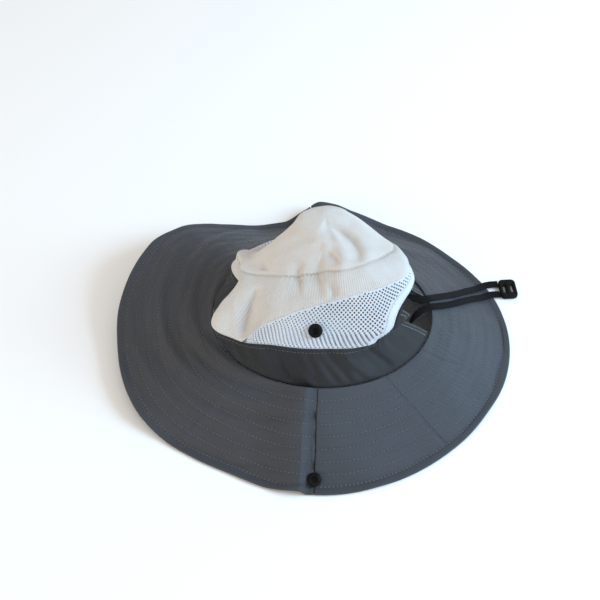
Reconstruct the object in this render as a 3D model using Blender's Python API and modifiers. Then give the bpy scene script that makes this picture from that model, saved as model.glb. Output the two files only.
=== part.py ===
"""Wide brim sun hat with a slumped cloth crown, side mesh and a ponytail opening.

Metres, +Z up. The front of the hat is -X, its rear with the ponytail opening is
+X, and the wearer's left side is -Y. The hat lies on its rim on the plane z = 0.
Angles are degrees round the head ring: 0 is the rear, 90 the wearer's right,
180 the front and 270 the wearer's left. A level is a height on the crown: 0 is
the seam of brim and band, 1 the top of the band and 5 the middle of the top
panel.
"""
import math

import bpy
from mathutils import Vector

# Driving dimensions
HEAD_LENGTH = 0.200
HEAD_WIDTH = 0.162
RING_HEIGHT = 0.045
RING_PLACE_Y = -0.0052
CROWN_RISE = 0.092
BRIM_REACH = 0.080
BRIM_THICKNESS = 0.0018
HEM_WIDTH = 0.006
BAND_THICKNESS = 0.0016
BAND_HEIGHT = 0.036
CROWN_THICKNESS = 0.0014
MESH_THICKNESS = 0.0012
TRIM_WIDTH = 0.007
SEAM_GAP = 0.0009
SEAT_GAP = 0.0003
SNAP_RADIUS = 0.0062
SNAP_HEIGHT = 0.0030
STRAP_WIDTH = 0.008
STRAP_THICKNESS = 0.0012
STRAP_STEP = 0.006
BUCKLE_LENGTH = 0.017
BUCKLE_WIDTH = 0.023
BUCKLE_THICKNESS = 0.0036
BUCKLE_CORNER = 0.003
BUCKLE_SLOT_LENGTH = 0.010
BUCKLE_SLOT_WIDTH = 0.0026

# Divisions round the hat and places given as angles or levels
COLUMN_STEP = 6.0
ARCH_STEP = 10.0
SIDE_SEAM_ANGLE = 93.0
OPENING_ANGLE_LOW = 15.0
OPENING_ANGLE_HIGH = 38.0
ARCH_ANGLE = 48.5
ARCH_POWER = 3.0
OPENING_ARCH = 1.0
POLE_LEVEL = 5.0
SNAP_BRIM_SHARE = 0.84
SNAP_CROWN_ANGLE = 91.0
SNAP_CROWN_LEVEL = 1.45
SCREW_STEPS = 16

SEAM_STEP = SEAM_GAP / BAND_HEIGHT / 2
TRIM_STEP = TRIM_WIDTH / BAND_HEIGHT
TRIM_ANGLE = math.degrees(TRIM_WIDTH / (HEAD_LENGTH / 2))
GAP_ANGLE = math.degrees(SEAM_GAP / (HEAD_LENGTH / 2))
ARCH_GAP_ANGLE = 2 * GAP_ANGLE

# The rim: angle, reach from the ring (share of BRIM_REACH), lift off the plane
# (share of RING_HEIGHT). The front right quarter stands up and the far side
# seam rises in a short peak.
RIM = [
    (0, 0.98, 0.00),
    (20, 1.01, 0.00),
    (38, 0.99, 0.00),
    (52, 1.03, 0.00),
    (66, 1.05, 0.00),
    (78, 1.07, 0.20),
    (84.5, 1.12, 0.33),
    (89.5, 1.13, 0.36),
    (95, 1.06, 0.22),
    (103, 0.995, 0.00),
    (110, 0.99, 0.02),
    (120, 1.03, 0.20),
    (130, 1.10, 0.47),
    (140, 1.18, 0.72),
    (149, 1.21, 0.80),
    (160, 1.20, 0.70),
    (172, 1.18, 0.50),
    (186, 1.13, 0.30),
    (204, 1.12, 0.24),
    (218, 1.05, 0.05),
    (228, 0.99, 0.00),
    (240, 0.955, 0.00),
    (258, 0.995, 0.00),
    (270, 0.995, 0.00),
    (293, 0.955, 0.00),
    (316, 0.91, 0.00),
    (330, 0.905, 0.00),
    (345, 0.945, 0.00),
]

# Level curves of the crown: level, then where the curve reaches at the front
# and rear (shares of HEAD_LENGTH) and at the near and far side (shares of
# HEAD_WIDTH), how far its rear end swings to the far side (share of
# HEAD_WIDTH), and its height over the ring at the front, rear, near and far
# side (shares of CROWN_RISE).
SECTIONS = [
    (0.0, -0.465, 0.535, -0.500, 0.500, 0.00, 0.00, 0.00, 0.00, 0.00),
    (1.0, -0.470, 0.368, -0.380, 0.450, -0.03, 0.38, 0.34, 0.36, 0.32),
    (1.5, -0.430, 0.452, -0.296, 0.440, -0.09, 0.47, 0.46, 0.51, 0.42),
    (2.0, -0.380, 0.437, -0.210, 0.420, -0.11, 0.52, 0.60, 0.64, 0.52),
    (3.0, -0.300, 0.370, -0.074, 0.395, -0.07, 0.55, 0.81, 0.80, 0.74),
    (4.0, -0.110, 0.256, 0.090, 0.362, -0.06, 0.86, 0.87, 0.90, 0.905),
    (4.5, -0.058, 0.158, 0.188, 0.334, 0.00, 0.95, 0.94, 0.955, 0.96),
    (5.0, 0.045, 0.045, 0.275, 0.275, 0.00, 0.988, 0.988, 0.988, 0.988),
]

# Folds and dents of the crown: angle and level of the middle, spread in angle
# and in level, push outwards (share of HEAD_LENGTH), lift (share of CROWN_RISE).
FOLDS = [
    (184, 1.1, 30, 0.9, -0.145, 0.02),
    (208, 0.95, 14, 0.7, 0.112, -0.06),
    (228, 1.0, 16, 0.6, 0.030, -0.09),
    (311, 1.0, 20, 0.8, 0.050, 0.00),
    (132, 2.4, 24, 1.1, -0.070, -0.19),
    (154, 2.0, 10, 0.7, 0.050, 0.06),
    (143, 3.4, 24, 0.55, -0.045, -0.08),
    (32, 3.1, 22, 1.0, -0.020, -0.06),
    (226, 1.9, 7, 0.8, -0.018, -0.01),
    (270, 3.3, 8, 0.9, -0.012, -0.02),
    (282, 3.4, 9, 0.8, 0.012, 0.02),
]

# Upper edge of the side mesh: angle from the rear, level. It rises from the
# band towards the rear.
MESH_EDGE = [
    (0, 2.40),
    (17, 2.43),
    (35, 2.48),
    (52, 2.46),
    (72, 2.35),
    (90, 2.125),
    (103, 1.885),
    (112, 1.65),
    (121, 1.42),
    (125, 1.14),
    (128, 1.00),
]

# Seam of the side panel and the top panel: angle, level. It dips round the fold
# at the front.
TIP_SEAM = [
    (20, 3.12),
    (60, 3.05),
    (100, 2.90),
    (130, 2.35),
    (150, 1.75),
    (165, 1.62),
    (182, 1.88),
    (194, 2.32),
    (202, 2.56),
    (210, 2.73),
    (220, 2.86),
    (238, 2.96),
    (256, 3.09),
    (281, 3.14),
    (298, 3.18),
    (315, 3.31),
    (335, 3.36),
    (355, 3.22),
]

# Half outline of a snap button from its axis: radius (share of SNAP_RADIUS),
# height (share of SNAP_HEIGHT).
SNAP_PROFILE = [
    (0.00, 0.50),
    (0.30, 0.46),
    (0.42, 0.80),
    (0.62, 1.00),
    (0.82, 0.84),
    (1.00, 0.34),
    (1.00, 0.00),
    (0.00, 0.00),
]

# Routes of the two strands of the chin strap, from the ear along the inside of
# the band, out of the ponytail opening, down over the brim and along the plane
# to the buckle: place, and turn of the flat strap (0 on edge, 1 flat).
STRAP_RIGHT_ROUTE = [
    (0.002, 0.0685, 0.0510, 0),
    (0.022, 0.0662, 0.0510, 0),
    (0.042, 0.0598, 0.0510, 0),
    (0.060, 0.0490, 0.0510, 0),
    (0.0735, 0.0360, 0.0508, 0),
    (0.081, 0.0250, 0.0508, 0.1),
    (0.0858, 0.0158, 0.0510, 0.5),
    (0.093, 0.0103, 0.0505, 0.9),
    (0.101, 0.0093, 0.0498, 1),
    (0.1075, 0.0123, 0.0482, 1),
    (0.113, 0.0163, 0.0446, 1),
    (0.121, 0.0223, 0.0388, 1),
    (0.136, 0.0338, 0.0280, 1),
    (0.151, 0.0478, 0.0161, 1),
    (0.163, 0.0588, 0.0064, 1),
    (0.170, 0.0643, 0.0034, 1),
    (0.177, 0.0674, 0.0021, 1),
    (0.1851, 0.0683, 0.0018, 1),
]
STRAP_LEFT_ROUTE = [
    (0.002, -0.0772, 0.0510, 0),
    (0.022, -0.0752, 0.0510, 0),
    (0.042, -0.0700, 0.0510, 0),
    (0.060, -0.0608, 0.0510, 0),
    (0.0735, -0.0482, 0.0508, 0),
    (0.0815, -0.0360, 0.0508, 0),
    (0.0875, -0.0205, 0.0510, 0.3),
    (0.094, -0.0092, 0.0505, 0.8),
    (0.101, -0.0022, 0.0498, 1),
    (0.109, 0.0023, 0.0480, 1),
    (0.118, 0.0078, 0.0426, 1),
    (0.131, 0.0168, 0.0341, 1),
    (0.144, 0.0278, 0.0250, 1),
    (0.157, 0.0388, 0.0151, 1),
    (0.168, 0.0473, 0.0070, 1),
    (0.176, 0.0533, 0.0031, 1),
    (0.1859, 0.0553, 0.0018, 1),
]
BUCKLE_PLACE = (0.1945, 0.0618)
BUCKLE_TURN = 4.0

CLOTH_GREY = (0.060, 0.068, 0.082)
CLOTH_WHITE = (0.80, 0.78, 0.75)
MESH_WHITE = (0.66, 0.71, 0.78)
BLACK = (0.010, 0.010, 0.011)


def clear_scene():
    for thing in list(bpy.data.objects):
        bpy.data.objects.remove(thing, do_unlink=True)


def make_collection(name):
    collection = bpy.data.collections.new(name)
    bpy.context.scene.collection.children.link(collection)
    return collection


def make_material(name, color, roughness):
    material = bpy.data.materials.new(name)
    material.use_nodes = True
    shader = material.node_tree.nodes["Principled BSDF"]
    shader.inputs["Base Color"].default_value = (*color, 1.0)
    shader.inputs["Roughness"].default_value = roughness
    shader.inputs["Metallic"].default_value = 0.0
    return material


# Smooth reading of the tables
def slope(keys, values, index):
    """Slope of the smooth curve at one of its keys, without overshoot."""
    if index == 0:
        return (values[1] - values[0]) / (keys[1] - keys[0])
    if index == len(keys) - 1:
        return (values[-1] - values[-2]) / (keys[-1] - keys[-2])
    before = (values[index] - values[index - 1]) / (keys[index] - keys[index - 1])
    after = (values[index + 1] - values[index]) / (keys[index + 1] - keys[index])
    if before * after <= 0:
        return 0.0
    return 2 * before * after / (before + after)


def smooth(keys, values, at):
    """Value at a place between keys, on a smooth curve through all of them."""
    if at <= keys[0]:
        return values[0]
    if at >= keys[-1]:
        return values[-1]
    index = max(k for k in range(len(keys) - 1) if keys[k] <= at)
    step = keys[index + 1] - keys[index]
    s = (at - keys[index]) / step
    start = slope(keys, values, index) * step
    end = slope(keys, values, index + 1) * step
    return ((2 * s ** 3 - 3 * s ** 2 + 1) * values[index]
            + (s ** 3 - 2 * s ** 2 + s) * start
            + (3 * s ** 2 - 2 * s ** 3) * values[index + 1]
            + (s ** 3 - s ** 2) * end)


def column(table, index):
    return [row[index] for row in table]


def turn_between(angle, other):
    """Signed turn in degrees from one angle to another, the short way."""
    return (angle - other + 180) % 360 - 180


# The soft surfaces
def around(table, index, angle):
    """Reading of a table that closes on itself round the hat."""
    keys = column(table, 0)
    values = column(table, index)
    keys = [key - 360 for key in keys[-2:]] + keys + [key + 360 for key in keys[:2]]
    return smooth(keys, values[-2:] + values + values[:2], angle % 360)


def rim_at(angle):
    """Reach of the brim from the ring, and height of the rim."""
    return BRIM_REACH * around(RIM, 1, angle), RING_HEIGHT * around(RIM, 2, angle)


def crown_point(angle, level):
    """Middle surface of band and crown."""
    keys = column(SECTIONS, 0)
    row = [smooth(keys, column(SECTIONS, index), level) for index in range(1, 10)]
    front, rear, near, far, swing, rise_front, rise_rear, rise_near, rise_far = row
    c = math.cos(math.radians(angle))
    s = math.sin(math.radians(angle))
    x = HEAD_LENGTH * ((front + rear) / 2 + (rear - front) / 2 * c)
    y = HEAD_WIDTH * ((near + far) / 2 + (far - near) / 2 * s + swing * ((1 + c) / 2) ** 2)
    y += RING_PLACE_Y
    rise = ((rise_front + rise_rear + rise_near + rise_far) / 4
            + (rise_rear - rise_front) / 2 * c
            + (rise_far - rise_near) / 2 * s
            + (rise_rear + rise_front - rise_far - rise_near) / 4 * (c * c - s * s))
    z = RING_HEIGHT + CROWN_RISE * rise
    for fold_angle, fold_level, angle_spread, level_spread, push, lift in FOLDS:
        weight = math.exp(-(turn_between(angle, fold_angle) / angle_spread) ** 2
                          - ((level - fold_level) / level_spread) ** 2)
        weight *= min(1.0, level)
        x += HEAD_LENGTH * push * weight * c
        y += HEAD_LENGTH * push * weight * s
        z += CROWN_RISE * lift * weight
    return Vector((x, y, z))


def brim_point(angle, reach_share):
    """Lower surface of the brim: a slope from the ring, then a level hem."""
    ring = crown_point(angle, 0.0)
    c = math.cos(math.radians(angle)) * HEAD_WIDTH
    s = math.sin(math.radians(angle)) * HEAD_LENGTH
    outward = Vector((c, s, 0.0)).normalized()
    reach, lift = rim_at(angle)
    slope_share = min(1.0, reach_share / (1.0 - HEM_WIDTH / reach))
    start = ring + outward * (BAND_THICKNESS / 2 + SEAM_GAP)
    flat = start + outward * (reach * reach_share)
    return Vector((flat.x, flat.y, ring.z + (lift - ring.z) * slope_share))


def surface_frame(point_at, u, v, du, dv):
    """Place on a surface and its normal, from small steps to both sides."""
    along = point_at(u + du, v) - point_at(u - du, v)
    up = point_at(u, v + dv) - point_at(u, v - dv)
    return point_at(u, v), along.cross(up).normalized()


def opening_angle(tall):
    """Angle at which the band ends beside the ponytail opening."""
    return OPENING_ANGLE_LOW + (OPENING_ANGLE_HIGH - OPENING_ANGLE_LOW) * tall ** 2


def seam_room(angle, level, climb=0.0):
    """Half the gap of a seam in levels, wider where the cloth bends or the seam slants."""
    step = 0.1
    here = crown_point(angle, level)
    below = here - crown_point(angle, level - step)
    above = crown_point(angle, level + step) - here
    along = crown_point(angle + 1, level + climb) - crown_point(angle - 1, level - climb)
    across = (below + above).cross(along.normalized()).length / step / 2
    room = SEAM_GAP / 2 + BAND_THICKNESS / 2 * math.tan(below.angle(above) / 2)
    return room / across


def edge_beside(seam, angle, way):
    """Level of an edge half a gap above a seam (way 1) or below it (way -1)."""
    climb = (seam(angle + 2) - seam(angle - 2)) / 4
    return seam(angle) + way * seam_room(angle, seam(angle), climb)


def arch_over(angle, half_angle, height):
    """Level of an arch over the ponytail opening, or of the plain band top beside it."""
    share = abs(turn_between(angle, 0)) / half_angle
    if share >= 1:
        return 1.0
    return 1.0 + height * (1 - share ** ARCH_POWER) ** (1 / ARCH_POWER)


def band_top(angle):
    """Level of the top of the band, which climbs along the hem to the slanted end."""
    side = max(abs(turn_between(angle, 0)), OPENING_ANGLE_HIGH)
    level = arch_over(side, ARCH_ANGLE - ARCH_GAP_ANGLE, OPENING_ARCH)
    return level - seam_room(angle, level)


def arch_level(angle):
    """Level at which the mesh begins over the hem of the ponytail opening."""
    half_angle = ARCH_ANGLE + TRIM_ANGLE + ARCH_GAP_ANGLE
    return arch_over(angle, half_angle, OPENING_ARCH + TRIM_STEP + 2 * SEAM_STEP)


def tip_seam(angle):
    """Level of the seam between the white side panel and the top panel."""
    return around(TIP_SEAM, 1, angle)


def mesh_edge(angle):
    """Level of the seam between the side mesh and the white panel."""
    side = abs(turn_between(angle, 0))
    return smooth(column(MESH_EDGE, 0), column(MESH_EDGE, 1), side)


# Building blocks
def spread(start, stop, step):
    """Even places from start to stop, no further apart than step."""
    count = max(1, math.ceil(abs(stop - start) / step - 1e-6))
    return [start + (stop - start) * index / count for index in range(count + 1)]


def cloth(name, rows, thickness, material, collection, closed=False, pole=None, offset=0.0):
    """Sheet through rows of places, thickened to both sides or, at offset -1, to its back."""
    width = len(rows[0])
    places = [place for row in rows for place in row]
    faces = []
    for row in range(len(rows) - 1):
        for index in range(width if closed else width - 1):
            following = (index + 1) % width
            faces.append((row * width + index, row * width + following,
                          (row + 1) * width + following, (row + 1) * width + index))
    if pole is not None:
        last = (len(rows) - 1) * width
        places.append(pole)
        for index in range(width):
            faces.append((last + index, last + (index + 1) % width, len(places) - 1))
    mesh = bpy.data.meshes.new(name)
    mesh.from_pydata(places, [], faces)
    mesh.materials.append(material)
    mesh.shade_smooth()
    sheet = bpy.data.objects.new(name, mesh)
    collection.objects.link(sheet)
    solidify = sheet.modifiers.new("thickness", "SOLIDIFY")
    solidify.thickness = thickness
    solidify.offset = offset
    solidify.use_even_offset = True
    solidify.use_rim = True
    return sheet


def build_brim(name, start, stop, material, collection):
    """Half of the brim between two side seams, with its underside at the hem on the plane."""
    columns = spread(start + GAP_ANGLE / 2, stop - GAP_ANGLE / 2, COLUMN_STEP)
    rows = []
    for share in (0.0, 0.32, 0.64, None, 1.0):
        row = []
        for angle in columns:
            hem = 1.0 - HEM_WIDTH / rim_at(angle)[0]
            row.append(brim_point(angle, hem if share is None else share))
        rows.append(row)
    return cloth(name, rows, BRIM_THICKNESS, material, collection, offset=-1.0)


def build_band(material, collection):
    """Band from the ring up, open at the rear and higher beside the opening."""
    foot = ARCH_ANGLE - ARCH_GAP_ANGLE
    middle = [angle for angle in spread(0.0, 360.0, COLUMN_STEP) if foot < angle < 360 - foot]
    rows = []
    for tall in (0.0, 0.3, 0.65, 0.94, 1.0):
        end = opening_angle(tall)
        climb = [end + (foot - end) * share for share in (0.0, 0.3, 0.55, 0.75, 0.9, 1.0)]
        angles = climb + middle + [360 - angle for angle in reversed(climb)]
        rows.append([crown_point(angle, tall * band_top(angle)) for angle in angles])
    return cloth("band", rows, BAND_THICKNESS, material, collection)


def build_crown_side(material, collection):
    """White ring of cloth from the band and the side mesh up to the top seam."""
    columns = spread(0.0, 360.0, COLUMN_STEP)[:-1]
    rows = []
    for share in (0.0, 0.06, 0.2, 0.36, 0.54, 0.74, 0.92, 1.0):
        row = []
        for angle in columns:
            low = edge_beside(mesh_edge, angle, 1)
            high = edge_beside(tip_seam, angle, -1)
            row.append(crown_point(angle, low + (high - low) * share))
        rows.append(row)
    return cloth("crown_side", rows, CROWN_THICKNESS, material, collection, closed=True)


def build_crown_tip(material, collection):
    """Smooth top panel that closes the crown."""
    columns = spread(0.0, 360.0, COLUMN_STEP)[:-1]
    rows = []
    for share in (0.0, 0.02, 0.10, 0.24, 0.42, 0.62, 0.80):
        row = []
        for angle in columns:
            low = edge_beside(tip_seam, angle, 1)
            row.append(crown_point(angle, low + (POLE_LEVEL - low) * share))
        rows.append(row)
    pole = crown_point(0.0, POLE_LEVEL)
    return cloth("crown_tip", rows, CROWN_THICKNESS, material, collection, closed=True, pole=pole)


def build_mesh(name, side, material, collection):
    """Wedge of sports mesh on one side, from the rear middle to its point at the band."""
    near = GAP_ANGLE / 2
    last = MESH_EDGE[-1][0] - 3.0
    arch_end = ARCH_ANGLE + TRIM_ANGLE + ARCH_GAP_ANGLE
    over_arch = [arch_end * math.cos(math.radians(turn)) ** (2 / ARCH_POWER)
                 for turn in spread(80.0, 0.0, ARCH_STEP)]
    columns = [near] + over_arch + spread(arch_end, last, COLUMN_STEP)[1:]
    angles = [side * angle for angle in columns]
    if side < 0:
        angles.reverse()
    rows = []
    for share in (0.0, 0.1, 0.35, 0.65, 0.9, 1.0):
        row = []
        for angle in angles:
            low = arch_level(angle) + SEAM_STEP
            high = edge_beside(mesh_edge, angle, -1)
            row.append(crown_point(angle, low + (high - low) * share))
        rows.append(row)
    return cloth(name, rows, MESH_THICKNESS, material, collection)


def build_trim(material, collection):
    """Hem round the upper edge of the ponytail opening."""
    rows = []
    for share in (0.0, 0.5, 1.0):
        half_angle = ARCH_ANGLE + TRIM_ANGLE * share
        height = OPENING_ARCH + TRIM_STEP * share
        row = []
        for turn in spread(180.0, 0.0, ARCH_STEP):
            across = math.cos(math.radians(turn))
            up = math.sin(math.radians(turn))
            angle = math.copysign(half_angle * abs(across) ** (2 / ARCH_POWER), across)
            level = 1.0 + height * up ** (2 / ARCH_POWER)
            room = max(SEAM_STEP, seam_room(angle, level) * (1 - share))
            row.append(crown_point(angle, level + room))
        rows.append(row)
    return cloth("opening_trim", rows, CROWN_THICKNESS, material, collection)


def build_snap(name, place, normal, material, collection):
    """Snap button: a turned cap with a raised ring, seated on the cloth."""
    radii = [share * SNAP_RADIUS for share in column(SNAP_PROFILE, 0)]
    heights = [share * SNAP_HEIGHT for share in column(SNAP_PROFILE, 1)]
    points = [(radius, 0.0, height) for radius, height in zip(radii, heights)]
    edges = [(index, index + 1) for index in range(len(points) - 1)]
    mesh = bpy.data.meshes.new(name)
    mesh.from_pydata(points, edges, [])
    mesh.materials.append(material)
    snap = bpy.data.objects.new(name, mesh)
    collection.objects.link(snap)
    screw = snap.modifiers.new("turn", "SCREW")
    screw.steps = SCREW_STEPS
    screw.render_steps = SCREW_STEPS
    screw.use_merge_vertices = True
    screw.merge_threshold = 0.00005
    screw.use_smooth_shade = True
    snap.location = place + normal * SEAT_GAP
    snap.rotation_mode = "QUATERNION"
    snap.rotation_quaternion = Vector((0, 0, 1)).rotation_difference(normal)
    return snap


def smooth_route(route):
    """Places along a strap at even steps on one smooth curve through its route."""
    lengths = [0.0]
    for before, after in zip(route, route[1:]):
        lengths.append(lengths[-1] + (Vector(after[:3]) - Vector(before[:3])).length)
    stations = spread(0.0, lengths[-1], STRAP_STEP)
    return [[spline(lengths, column(route, index), station) for index in range(4)]
            for station in stations]


def spline(keys, values, at):
    """Value on a curve with even slopes through its keys."""
    index = min(max(k for k in range(len(keys)) if keys[k] <= at + 1e-9), len(keys) - 2)
    step = keys[index + 1] - keys[index]
    s = (at - keys[index]) / step
    before = max(index - 1, 0)
    after = min(index + 2, len(keys) - 1)
    start = (values[index + 1] - values[before]) / (keys[index + 1] - keys[before]) * step
    end = (values[after] - values[index]) / (keys[after] - keys[index]) * step
    return ((2 * s ** 3 - 3 * s ** 2 + 1) * values[index]
            + (s ** 3 - 2 * s ** 2 + s) * start
            + (3 * s ** 2 - 2 * s ** 3) * values[index + 1]
            + (s ** 3 - s ** 2) * end)


def build_strap(name, route, material, collection):
    """Flat strand of the chin strap, as a curve with a flat round-edged section."""
    curve = bpy.data.curves.new(name, "CURVE")
    curve.dimensions = "3D"
    curve.twist_mode = "Z_UP"
    curve.bevel_depth = STRAP_THICKNESS / 2
    curve.extrude = (STRAP_WIDTH - STRAP_THICKNESS) / 2
    curve.bevel_resolution = 2
    curve.resolution_u = 1
    curve.render_resolution_u = 0
    curve.use_fill_caps = True
    line = curve.splines.new("POLY")
    places = smooth_route(route)
    line.points.add(len(places) - 1)
    for point, (x, y, z, turn) in zip(line.points, places):
        point.co = (x, y, z, 1.0)
        point.tilt = math.radians(90.0) * turn
    strap = bpy.data.objects.new(name, curve)
    strap.data.materials.append(material)
    collection.objects.link(strap)
    return strap


def rounded_outline(length, width, corner):
    """Corner arcs of a rounded rectangle, counterclockwise."""
    outline = []
    for quarter, (sx, sy) in enumerate(((1, 1), (-1, 1), (-1, -1), (1, -1))):
        for step in range(4):
            angle = math.radians(90 * quarter + 30 * step)
            outline.append((sx * (length / 2 - corner) + corner * math.cos(angle),
                            sy * (width / 2 - corner) + corner * math.sin(angle)))
    return outline


def build_buckle(material, collection):
    """Slider with two slots for the strands, flat on the plane."""
    curve = bpy.data.curves.new("buckle", "CURVE")
    curve.dimensions = "2D"
    curve.fill_mode = "BOTH"
    curve.extrude = BUCKLE_THICKNESS / 2
    curve.resolution_u = 1
    curve.render_resolution_u = 0
    slot_corner = BUCKLE_SLOT_WIDTH / 2
    slot_offset = BUCKLE_LENGTH * 0.22
    outlines = [(rounded_outline(BUCKLE_LENGTH, BUCKLE_WIDTH, BUCKLE_CORNER), 0.0)]
    for offset in (-slot_offset, slot_offset):
        slot = rounded_outline(BUCKLE_SLOT_WIDTH, BUCKLE_SLOT_LENGTH, slot_corner * 0.9)
        outlines.append((slot, offset))
    for outline, offset in outlines:
        line = curve.splines.new("POLY")
        line.points.add(len(outline) - 1)
        line.use_cyclic_u = True
        for point, (x, y) in zip(line.points, outline):
            point.co = (x + offset, y, 0.0, 1.0)
    buckle = bpy.data.objects.new("buckle", curve)
    buckle.data.materials.append(material)
    buckle.location = (*BUCKLE_PLACE, BUCKLE_THICKNESS / 2)
    buckle.rotation_euler = (0.0, 0.0, math.radians(BUCKLE_TURN))
    collection.objects.link(buckle)
    return buckle


def build_snaps(material, collection):
    """One snap at each side seam near the rim, and its mate on the mesh above."""
    for name, side in (("right", 1), ("left", -1)):
        place, down = surface_frame(brim_point, side * SIDE_SEAM_ANGLE, SNAP_BRIM_SHARE, 2.0, 0.05)
        top = place - down * BRIM_THICKNESS
        build_snap("snap_brim_" + name, top, -down, material, collection)
        place, out = surface_frame(crown_point, side * SNAP_CROWN_ANGLE, SNAP_CROWN_LEVEL, 3.0, 0.1)
        build_snap("snap_crown_" + name, place + out * MESH_THICKNESS / 2, out, material, collection)


def main():
    clear_scene()
    hat = make_collection("sun_hat")
    grey = make_material("grey_cloth", CLOTH_GREY, 0.85)
    band_grey = make_material("band_cloth", CLOTH_GREY, 0.85)
    white = make_material("white_cloth", CLOTH_WHITE, 0.85)
    tip_white = make_material("tip_cloth", CLOTH_WHITE, 0.80)
    mesh_white = make_material("mesh_cloth", MESH_WHITE, 0.75)
    trim_white = make_material("trim_cloth", MESH_WHITE, 0.80)
    snap_black = make_material("snap_plastic", BLACK, 0.35)
    strap_black = make_material("strap_webbing", BLACK, 0.70)
    buckle_black = make_material("buckle_plastic", BLACK, 0.30)
    build_brim("brim_front", SIDE_SEAM_ANGLE, 360 - SIDE_SEAM_ANGLE, grey, hat)
    build_brim("brim_rear", -SIDE_SEAM_ANGLE, SIDE_SEAM_ANGLE, grey, hat)
    build_band(band_grey, hat)
    build_crown_side(white, hat)
    build_crown_tip(tip_white, hat)
    build_mesh("mesh_right", 1, mesh_white, hat)
    build_mesh("mesh_left", -1, mesh_white, hat)
    build_trim(trim_white, hat)
    build_snaps(snap_black, hat)
    build_strap("strap_right", STRAP_RIGHT_ROUTE, strap_black, hat)
    build_strap("strap_left", STRAP_LEFT_ROUTE, strap_black, hat)
    build_buckle(buckle_black, hat)


main()
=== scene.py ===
"""Looks of the wide brim sun hat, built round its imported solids.

Metres, +Z up, front of the hat at -X, ponytail opening at +X, wearer's left at -Y.
The cloth follows the same surfaces as the solids, on much finer grids.
"""
import math

import bmesh
import bpy
import numpy as np
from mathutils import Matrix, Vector


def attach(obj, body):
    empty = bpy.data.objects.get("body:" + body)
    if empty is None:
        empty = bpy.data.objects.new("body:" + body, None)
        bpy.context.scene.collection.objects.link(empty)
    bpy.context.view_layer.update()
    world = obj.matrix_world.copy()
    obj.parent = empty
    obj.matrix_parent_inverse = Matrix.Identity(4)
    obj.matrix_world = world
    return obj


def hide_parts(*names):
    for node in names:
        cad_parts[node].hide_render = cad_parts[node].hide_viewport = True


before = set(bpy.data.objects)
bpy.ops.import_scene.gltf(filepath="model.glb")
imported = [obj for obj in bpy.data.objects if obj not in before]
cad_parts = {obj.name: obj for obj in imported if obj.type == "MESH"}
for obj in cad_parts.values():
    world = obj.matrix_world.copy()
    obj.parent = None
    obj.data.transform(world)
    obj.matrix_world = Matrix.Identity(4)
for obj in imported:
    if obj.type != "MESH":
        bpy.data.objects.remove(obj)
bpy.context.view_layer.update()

# Sizes of the solids
HEAD_LENGTH = 0.200
HEAD_WIDTH = 0.162
RING_HEIGHT = 0.045
RING_PLACE_Y = -0.0052
CROWN_RISE = 0.092
BRIM_REACH = 0.080
BRIM_THICKNESS = 0.0018
HEM_WIDTH = 0.006
BAND_THICKNESS = 0.0016
BAND_HEIGHT = 0.036
MESH_THICKNESS = 0.0012
TRIM_WIDTH = 0.007
SEAM_GAP = 0.0009
SEAT_GAP = 0.0003
SNAP_RADIUS = 0.0062
SNAP_HEIGHT = 0.0030
STRAP_WIDTH = 0.008
STRAP_THICKNESS = 0.0012
BUCKLE_LENGTH = 0.017
BUCKLE_WIDTH = 0.023
BUCKLE_THICKNESS = 0.0036
SIDE_SEAM_ANGLE = 93.0
OPENING_ANGLE_LOW = 15.0
OPENING_ANGLE_HIGH = 38.0
ARCH_ANGLE = 48.5
ARCH_POWER = 3.0
OPENING_ARCH = 1.0
POLE_LEVEL = 5.0
SNAP_BRIM_SHARE = 0.84
SNAP_CROWN_ANGLE = 91.0
SNAP_CROWN_LEVEL = 1.45
SEAM_STEP = SEAM_GAP / BAND_HEIGHT / 2
CLOTH_SEAM_STEP = SEAM_STEP * 0.3
TRIM_STEP = TRIM_WIDTH / BAND_HEIGHT
TRIM_ANGLE = math.degrees(TRIM_WIDTH / (HEAD_LENGTH / 2))
GAP_ANGLE = math.degrees(SEAM_GAP / (HEAD_LENGTH / 2))
ARCH_GAP_ANGLE = 2 * GAP_ANGLE

RIM = [
    (0, 0.98, 0.00), (20, 1.01, 0.00), (38, 0.99, 0.00), (52, 1.03, 0.00),
    (66, 1.05, 0.00), (78, 1.07, 0.20), (84.5, 1.12, 0.33), (89.5, 1.13, 0.36),
    (95, 1.06, 0.22), (103, 0.995, 0.00), (110, 0.99, 0.02), (120, 1.03, 0.20),
    (130, 1.10, 0.47), (140, 1.18, 0.72), (149, 1.21, 0.80), (160, 1.20, 0.70),
    (172, 1.18, 0.50), (186, 1.13, 0.30), (204, 1.12, 0.24), (218, 1.05, 0.05),
    (228, 0.99, 0.00), (240, 0.955, 0.00), (258, 0.995, 0.00), (270, 0.995, 0.00),
    (293, 0.955, 0.00), (316, 0.91, 0.00), (330, 0.905, 0.00), (345, 0.945, 0.00),
]
SECTIONS = [
    (0.0, -0.465, 0.535, -0.500, 0.500, 0.00, 0.00, 0.00, 0.00, 0.00),
    (1.0, -0.470, 0.368, -0.380, 0.450, -0.03, 0.38, 0.34, 0.36, 0.32),
    (1.5, -0.430, 0.452, -0.296, 0.440, -0.09, 0.47, 0.46, 0.51, 0.42),
    (2.0, -0.380, 0.437, -0.210, 0.420, -0.11, 0.52, 0.60, 0.64, 0.52),
    (3.0, -0.300, 0.370, -0.074, 0.395, -0.07, 0.55, 0.81, 0.80, 0.74),
    (4.0, -0.110, 0.256, 0.090, 0.362, -0.06, 0.86, 0.87, 0.90, 0.905),
    (4.5, -0.058, 0.158, 0.188, 0.334, 0.00, 0.95, 0.94, 0.955, 0.96),
    (5.0, 0.045, 0.045, 0.275, 0.275, 0.00, 0.988, 0.988, 0.988, 0.988),
]
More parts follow.
